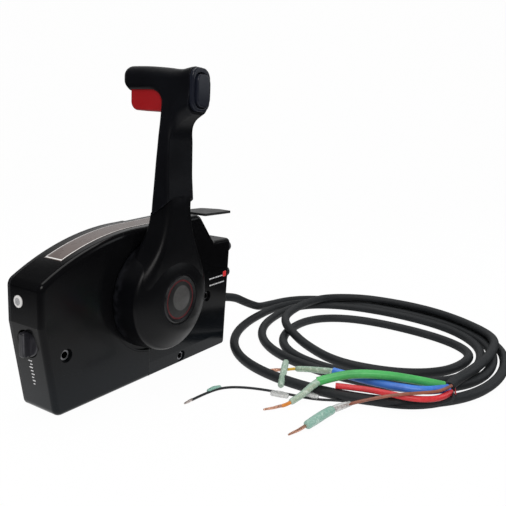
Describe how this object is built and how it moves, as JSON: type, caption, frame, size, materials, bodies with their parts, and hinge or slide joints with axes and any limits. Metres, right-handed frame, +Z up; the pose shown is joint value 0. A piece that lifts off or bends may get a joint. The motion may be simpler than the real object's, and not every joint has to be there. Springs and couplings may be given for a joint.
{
  "type": "boat throttle control lever",
  "caption": "Side-mount boat engine remote control: flared lever with neutral-lock grip, trim rocker, friction knob, key and stop switches and a coiled harness.",
  "frame": {"origin": "on the flat base, straight below the lever's pivot axis, at the middle of the box's depth", "axes": "X along the box, +Y towards the mounting face on the back, +Z up; the lever's pivot axis runs along Y"},
  "size_m": [0.5682, 0.3663, 0.3193],
  "materials": {
    "cover_black": "satin black, slightly glossy",
    "housing_black": "black painted casting",
    "lever_black": "satin black painted casting",
    "grip_black": "satin blue-black moulding",
    "steel": "bright zinc-plated",
    "gear_steel": "machined",
    "spring_steel": "bright",
    "bush_brass": "turned",
    "cap_black": "gloss black",
    "ring_red": "gloss dark red",
    "disc_grey": "gloss dark grey",
    "trigger_red": "gloss red",
    "switch_dark": "satin dark blue-grey",
    "knob_black": "satin black",
    "lens_pale": "frosted pale",
    "lever_sheet": "black painted sheet steel",
    "switch_body": "moulded black",
    "switch_chrome": "polished",
    "stop_red": "gloss red",
    "inner_nylon": "natural nylon",
    "rubber_black": "matte black",
    "lead_green": "satin green tubing",
    "lead_blue": "satin blue tubing",
    "lead_red": "satin red tubing",
    "sleeve_clear": "clear green shrink sleeve",
    "lead_brown": "brown insulation"
  },
  "bodies": {
    "housing": {"front_cover_left": "cover_black", "front_cover_right": "cover_black", "back_housing": "housing_black", "mounting_sleeves": "steel", "cover_screws": "steel", "shaft_bush_front": "bush_brass", "shaft_bush_rear": "bush_brass", "neutral_lock_ring": "gear_steel", "gear_studs": "steel", "detent_roller": "steel", "detent_spring": "spring_steel", "neutral_switch": "switch_body", "warning_buzzer": "switch_body", "cable_port_plate": "housing_black", "cable_anchor": "inner_nylon", "friction_shoe": "inner_nylon", "indicator_lens": "lens_pale", "key_switch_body": "switch_body", "key_switch_nut": "switch_chrome", "stop_switch_body": "switch_body", "stop_switch_nut": "switch_chrome", "free_throttle_stud": "steel", "harness_grommet": "rubber_black", "harness_lead": "rubber_black", "harness_coil": "rubber_black", "green_lead": "lead_green", "blue_lead": "lead_blue", "red_lead": "lead_red", "black_lead": "rubber_black", "brown_lead": "lead_brown", "green_sleeve": "sleeve_clear", "blue_sleeve": "sleeve_clear", "teal_sleeve": "sleeve_clear"},
    "lever": {"lever_arm": "lever_black", "grip_cover": "grip_black", "hub_cap_ring": "cap_black", "hub_red_ring": "ring_red", "hub_disc": "disc_grey", "hub_bolt": "steel", "main_shaft": "steel", "drive_gear": "gear_steel", "switch_bezel": "switch_dark", "trigger_spring": "spring_steel"},
    "trigger": {"neutral_trigger": "trigger_red", "lock_rod": "steel"},
    "rocker": {"trim_rocker": "switch_dark"},
    "free_throttle": {"free_throttle_lever": "lever_sheet"},
    "friction_control": {"friction_knob": "knob_black", "friction_screw": "steel"},
    "key": {"key_barrel": "switch_chrome"},
    "stop": {"stop_button": "stop_red"},
    "throttle_drive": {"throttle_gear": "gear_steel", "throttle_clevis_pin": "steel"},
    "shift_drive": {"shift_gear": "gear_steel", "shift_clevis_pin": "steel"}
  },
  "joints": [
    {"name": "lever_swing", "type": "hinge", "parent": "housing", "child": "lever", "pos_m": [0, 0, 0.0908], "axis": [0, 1, 0], "range_deg": [-80, 80]},
    {"name": "trigger_slide", "type": "slide", "parent": "lever", "child": "trigger", "axis": [0, 0, 1], "range_m": [0, 0.006], "stiffness_N_per_m": 400, "springref_m": -0.004, "deforming": ["trigger_spring"]},
    {"name": "trim_rock", "type": "hinge", "parent": "lever", "child": "rocker", "pos_m": [0, -0.0686, 0.2978], "axis": [1, 0, 0], "range_deg": [-6, 6], "stiffness_Nm_per_rad": 0.08},
    {"name": "free_throttle_swing", "type": "hinge", "parent": "housing", "child": "free_throttle", "pos_m": [0, 0, 0.0908], "axis": [0, -1, 0], "range_deg": [0, 32]},
    {"name": "friction_turn", "type": "hinge", "parent": "housing", "child": "friction_control", "pos_m": [-0.1306, 0, 0.0685], "axis": [1, 0, 0], "range_deg": [-90, 90]},
    {"name": "key_turn", "type": "hinge", "parent": "housing", "child": "key", "pos_m": [0.135, 0, 0.118], "axis": [1, 0, 0], "range_deg": [0, 100]},
    {"name": "stop_press", "type": "slide", "parent": "housing", "child": "stop", "axis": [-1, 0, 0], "range_m": [0, 0.003], "stiffness_N_per_m": 500},
    {"name": "throttle_turn", "type": "hinge", "parent": "housing", "child": "throttle_drive", "pos_m": [-0.05081, 0, 0.06975], "axis": [0, 1, 0], "range_deg": [-46, 46]},
    {"name": "shift_turn", "type": "hinge", "parent": "housing", "child": "shift_drive", "pos_m": [0.05081, 0, 0.06975], "axis": [0, 1, 0], "range_deg": [-46, 46]}
  ],
  "couplings": [
    {"joint": "throttle_turn", "follows": "lever_swing", "ratio": -0.57143},
    {"joint": "shift_turn", "follows": "lever_swing", "ratio": -0.57143}
  ]
}
